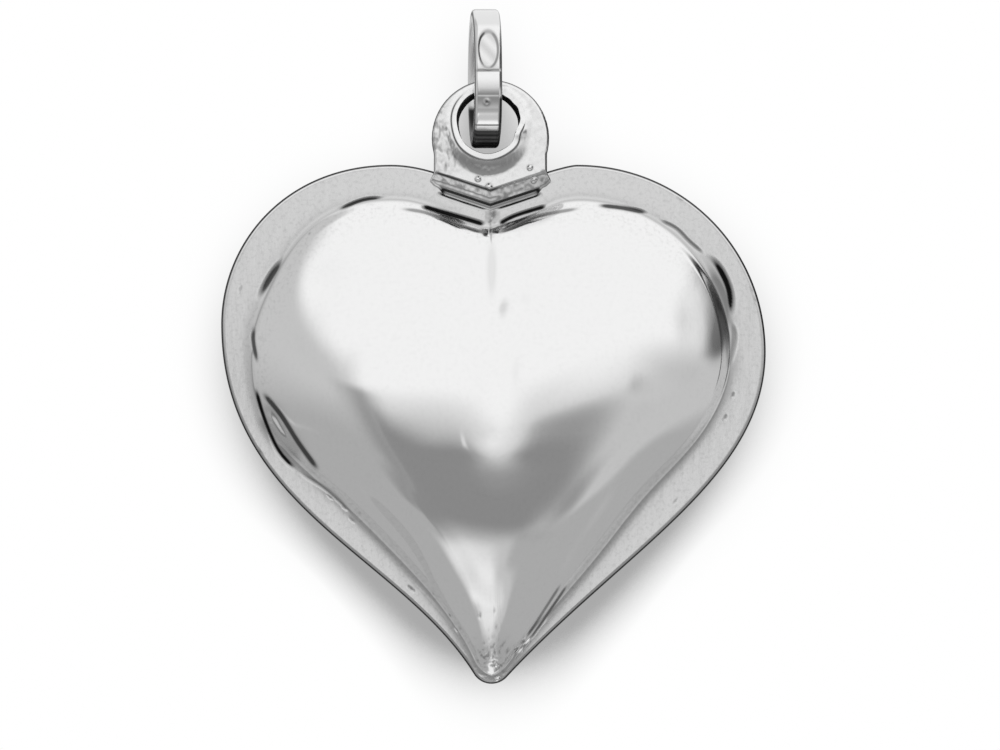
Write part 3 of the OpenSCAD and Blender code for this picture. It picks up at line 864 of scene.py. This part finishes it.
class Graph:
    """A shader tree under construction: each call adds a node, sets its sockets in order and links."""

    def __init__(self, tree):
        self.tree = tree
        tree.nodes.clear()

    def add(self, kind, *values, **settings):
        node = self.tree.nodes.new("ShaderNode" + kind)
        for name, value in settings.items():
            setattr(node, name, value)
        for socket, value in zip(node.inputs, values):
            if isinstance(value, bpy.types.NodeSocket):
                self.tree.links.new(value, socket)
            elif value is not None:
                socket.default_value = value
        return node

    def math(self, operation, a, b=None):
        return self.add("Math", a, b, operation=operation).outputs[0]

    def between(self, value, low, high, start=0, end=1):
        """A smooth step from start at low to end at high."""
        return self.add("MapRange", value, low, high, start, end, interpolation_type="SMOOTHSTEP").outputs[0]

    def window(self, value, edges, soft):
        """1 between the two edges and 0 outside them, with each edge as soft as its half width."""
        (low, high), (soft_low, soft_high) = edges, soft
        return self.product(
            self.between(value, low - soft_low, low + soft_low),
            self.between(value, high - soft_high, high + soft_high, 1, 0),
        )

    def product(self, first, *others):
        for other in others:
            first = self.math("MULTIPLY", first, other)
        return first

    def blend(self, share, a, b):
        """Goes from a to b as the share goes from 0 to 1."""
        return self.math("ADD", self.math("MULTIPLY", share, self.math("SUBTRACT", b, a)), a)

    def speckle(self, place, scale, detail):
        """Noise at a place, with its scale and detail."""
        node = self.add("TexNoise", noise_dimensions="3D")
        self.tree.links.new(place, node.inputs["Vector"])
        node.inputs["Scale"].default_value = scale
        node.inputs["Detail"].default_value = detail
        return node.outputs["Fac"]


def light_of(tone):
    """The linear light that shows as a display tone."""
    return tone / 12.92 if tone <= 0.04045 else ((tone + 0.055) / 1.055) ** 2.4


# Polished silver, and what full darkness makes of it, tarnish and painted shade alike
SILVER_BASE, SILVER_ROUGHNESS = 0.93, 0.09
TARNISH_AND_SHADE_BASE, TARNISH_AND_SHADE_ROUGHNESS = 0.012, 0.4

# The studio that the silver mirrors, as soft-edged areas by direction, in degrees. Azimuth 0 faces the heart
# and grows to its right; behind the heart the studio is the same. Later areas lie over earlier ones.
WALL_TONE = 0.75
AREAS = (
    dict(name="tent above", el=(9.0, 95.0), soft=(15.5, 1.0), tone=0.945),
    dict(
        name="left wall", az=(-95.0, -37.3), el=(-11.6, 83.5),
        soft_az=(5.0, 7.2), soft=(7.4, 3.2), tone=0.76,
    ),
    dict(name="right wall", az=(44.0, 95.0), el=(2.6, 31.1), soft_az=(5.5, 6.0), soft=(4.2, 4.0), tone=0.44),
    dict(
        name="left wall foot", az=(-94.1, -28.2), el=(-70.2, -6.1),
        soft_az=(4.2, 0.8), soft=(4.4, 14.5), tone=0.66,
    ),
    dict(
        name="right wall foot", az=(23.2, 95.0), el=(-70.3, -29.7),
        soft_az=(6.2, 4.0), soft=(6.3, 5.2), tone=0.66,
    ),
    dict(
        name="dark gap", az=(-33.0, 33.8), el=(-31.1, -0.5),
        soft_az=(0.9, 12.1), soft=(10.8, 6.7), tone=0.53,
    ),
    dict(
        name="left post", az=(-42.1, -31.5), el=(-22.7, 14.4),
        soft_az=(9.1, 8.2), soft=(2.6, 4.9), tone=0.54,
    ),
    dict(name="table", az=(-42.9, 4.3), el=(-53.4, -43.9), soft_az=(17.5, 10.9), soft=(4.5, 10.2), tone=0.94),
    dict(
        name="round the camera", az=(-1.7, 1.7), el=(-2.0, 2.0),
        soft_az=(0.5, 0.5), soft=(0.5, 0.5), tone=0.85,
    ),
    dict(
        name="low left card", az=(-100.0, -74.6), el=(-24.8, -24.2),
        soft_az=(4.0, 1.5), soft=(1.9, 3.4), tone=0.94,
    ),
    dict(name="straight below", el=(-95.0, -64.0), soft=(1.0, 3.0), tone=0.96),
)
# How much of the dark gap is left behind the heart
GAP_BEHIND = 0.4
# A dark side on the right, by a direction's parts to the right and straight ahead or back, and its elevation
DARK_SIDE = dict(
    right=(-0.2, 0.2), ahead=(0.06, 0.24), soft_ahead=(0.03, 0.06), el=(-18, 42.5), soft=(6, 7.5), tone=0.1,
)


def make_world():
    world = bpy.data.worlds.new("studio")
    bpy.context.scene.world = world
    world.use_nodes = True
    g = Graph(world.node_tree)
    x, y, z = g.add("SeparateXYZ", g.add("TexCoord").outputs["Generated"]).outputs
    ahead = g.math("ABSOLUTE", y)
    azimuth = g.math("DEGREES", g.math("ARCTAN2", x, ahead))
    elevation = g.math("DEGREES", g.math("ARCSINE", z))
    light = light_of(WALL_TONE) / SILVER_BASE
    for area in AREAS:
        share = g.window(elevation, area["el"], area["soft"])
        if "az" in area:
            share = g.product(share, g.window(azimuth, area["az"], area["soft_az"]))
        if area["name"] == "dark gap":
            share = g.product(share, g.between(y, -0.05, 0.05, 1, GAP_BEHIND))
        light = g.blend(share, light, light_of(area["tone"]) / SILVER_BASE)
    side = g.product(
        g.window(ahead, DARK_SIDE["ahead"], DARK_SIDE["soft_ahead"]),
        g.window(elevation, DARK_SIDE["el"], DARK_SIDE["soft"]),
        g.between(x, *DARK_SIDE["right"]),
    )
    light = g.blend(side, light, light_of(DARK_SIDE["tone"]))
    seen = g.add("LightPath").outputs["Is Camera Ray"]
    light = g.blend(seen, light, 1.0)
    glow = g.add("Background", (1, 1, 1, 1), light)
    g.add("OutputWorld", glow.outputs[0])


# The flange's grain darkens the silver where its noise is high, and fades towards the dome, by the distance
# from the middle plane
GRAIN_SCALE, GRAIN_DETAIL, GRAIN_DARK = 7000.0, 4.0, 0.12
GRAIN_NOISE, GRAIN_DEPTH, GRAIN_ON_DOME = (0.45, 0.75), (0.5, 0.9), 0.2
# Fine scratches run up and down
SCRATCH_STRETCH, SCRATCH_DETAIL = (2600.0, 2600.0, 900.0), 3.0
SCRATCH_STRENGTH, SCRATCH_DEPTH = 0.06, 0.02
# The ring's inner face isn't polished
BORE_ROUGHNESS = 0.45


def silver(name, bore=None):
    """Polished silver with fine scratches, darkened where the mesh carries tarnish and painted shade. A bore is
    (z, radius), and dull.
    """
    material = bpy.data.materials.new(name)
    material.use_nodes = True
    g = Graph(material.node_tree)
    place = g.add("TexCoord").outputs["Object"]
    tarnish_and_painted_shade = g.add("Attribute", attribute_name="tarnish_and_painted_shade").outputs["Fac"]
    _, y, z = g.add("SeparateXYZ", place).outputs
    depth_low, depth_high = (depth * MM for depth in GRAIN_DEPTH)
    grain = g.product(
        g.between(g.speckle(place, GRAIN_SCALE, GRAIN_DETAIL), *GRAIN_NOISE, 0, GRAIN_DARK),
        g.between(g.math("ABSOLUTE", y), depth_low, depth_high, 1, GRAIN_ON_DOME),
    )
    tone = g.blend(g.math("MAXIMUM", tarnish_and_painted_shade, grain), SILVER_BASE, TARNISH_AND_SHADE_BASE)
    colour = g.add("CombineColor", tone, tone, tone).outputs[0]
    strokes = g.add("VectorMath", place, SCRATCH_STRETCH, operation="MULTIPLY").outputs[0]
    bump = g.add("Bump")
    bump.inputs["Strength"].default_value = SCRATCH_STRENGTH
    bump.inputs["Distance"].default_value = SCRATCH_DEPTH * MM
    g.tree.links.new(g.speckle(strokes, 1.0, SCRATCH_DETAIL), bump.inputs["Height"])
    roughness = SILVER_ROUGHNESS
    if bore:
        bore_z, bore_r = bore
        from_axis = g.add("CombineXYZ", 0.0, y, g.math("SUBTRACT", z, bore_z * MM)).outputs[0]
        r = g.add("VectorMath", from_axis, operation="LENGTH").outputs["Value"]
        inner, outer = (bore_r + 0.02) * MM, (bore_r + 0.06) * MM
        roughness = g.between(r, inner, outer, BORE_ROUGHNESS, SILVER_ROUGHNESS)
    shader = g.add("BsdfPrincipled")
    shader.inputs["Metallic"].default_value = 1
    g.tree.links.new(colour, shader.inputs["Base Color"])
    g.tree.links.new(g.blend(tarnish_and_painted_shade, roughness, TARNISH_AND_SHADE_ROUGHNESS), shader.inputs["Roughness"])
    g.tree.links.new(bump.outputs["Normal"], shader.inputs["Normal"])
    g.add("OutputMaterial", shader.outputs[0])
    return material


# Camera: the photograph's frame is 1000 by 750 pixels, at 26 to the millimetre on the flange
PHOTO_W, PHOTO_H = 1000, 750
PX_PER_MM = 26
FRAME_W = PHOTO_W / PX_PER_MM
# Where the frame's origin, the seat of a chain, lies in the photograph
AXIS_PX, SEAT_PX = 491.5, 24.6
CAMERA_X = (PHOTO_W / 2 - AXIS_PX) / PX_PER_MM
CAMERA_Z = (SEAT_PX - PHOTO_H / 2) / PX_PER_MM
CAMERA_D = 450
SENSOR_W = 36


def make_camera():
    data = bpy.data.cameras.new("camera")
    data.sensor_width = SENSOR_W
    data.lens = SENSOR_W * (CAMERA_D - SHEET_T) / FRAME_W
    data.clip_start, data.clip_end = 0.005, 10
    camera = bpy.data.objects.new("camera", data)
    bpy.context.scene.collection.objects.link(camera)
    camera.location = (CAMERA_X * MM, -CAMERA_D * MM, CAMERA_Z * MM)
    camera.rotation_euler = (math.radians(90), 0, 0)
    bpy.context.scene.camera = camera


# The sheet behind the pendant: clear, shaded softly where the heart is close to it, and not seen from behind
SHEET_Y, SHEET_HALF = 3.4, 19
SHADE_REACH, SHADE_POWER, SHADE_GAIN = 4.2, 2.0, 4.2
# The shade's share at the foot of the heart and at the cleft, by height
SHADE_Z, SHADE_SHARES = (-25.0, -5.0), (1.5, 0.2)
# The share behind the eyelet's hole, by the squared distance from its middle
HOLE_SHADE_R2, HOLE_SHADE = (1.0, 4.4), 0.65
DARKEST_SHADE = 0.4


def make_sheet():
    half = SHEET_HALF
    mesh = bpy.data.meshes.new("backdrop")
    corners = [(-half, -half), (half, -half), (half, half), (-half, half)]
    mesh.from_pydata([(x * MM, SHEET_Y * MM, (z + CAMERA_Z) * MM) for x, z in corners], [], [(0, 1, 2, 3)])
    sheet = bpy.data.objects.new("backdrop", mesh)
    bpy.context.scene.collection.objects.link(sheet)
    material = bpy.data.materials.new("soft_shade")
    material.use_nodes = True
    g = Graph(material.node_tree)
    place = g.add("SeparateXYZ", g.add("TexCoord").outputs["Object"])
    x, _, z = (g.math("MULTIPLY", axis, 1 / MM) for axis in place.outputs)
    from_hole = g.math(
        "ADD",
        g.math("POWER", g.math("SUBTRACT", x, EYE_X), 2.0),
        g.math("POWER", g.math("SUBTRACT", z, EYE_Z), 2.0),
    )
    share = g.math(
        "MAXIMUM",
        g.between(z, *SHADE_Z, *SHADE_SHARES),
        g.between(from_hole, *HOLE_SHADE_R2, HOLE_SHADE, 0),
    )
    open_sky = g.add("AmbientOcclusion", samples=48)
    open_sky.inputs["Distance"].default_value = SHADE_REACH * MM
    shade = g.math("POWER", g.math("SUBTRACT", 1.0, open_sky.outputs["AO"]), SHADE_POWER)
    shade = g.product(shade, SHADE_GAIN, share)
    tone = g.math("MAXIMUM", g.math("SUBTRACT", 1.0, shade), DARKEST_SHADE)
    tone = g.math("MAXIMUM", tone, g.add("NewGeometry").outputs["Backfacing"])
    colour = g.add("CombineColor", tone, tone, tone).outputs[0]
    g.add("OutputMaterial", g.add("BsdfTransparent", colour).outputs[0])
    mesh.materials.append(material)
    sheet.visible_shadow = False
    sheet.visible_glossy = False
    sheet.visible_diffuse = False


make_camera()
make_world()
make_sheet()
bpy.context.scene.view_settings.view_transform = "Standard"

heart_silver = silver("heart_silver")
front = heart_half("front_half", back=False)
back = heart_half("back_half", back=True)
for piece, node in ((front, "front_shell"), (back, "back_shell")):
    piece.data.materials.append(heart_silver)
    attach(piece, "heart")
    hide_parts(node)

eyelet_silver = silver("eyelet_silver")
for name, node, behind in (("front_ply", "front_eyelet_ply", False), ("back_ply", "back_eyelet_ply", True)):
    ply = eyelet_ply(name, behind)
    ply.data.materials.append(eyelet_silver)
    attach(ply, "heart")
    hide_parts(node)

ring = jump_ring()
ring.data.materials.append(silver("ring_silver", bore=(RING_Z, RING_R - BAND_T)))
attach(ring, "ring")
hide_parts("jump_ring")
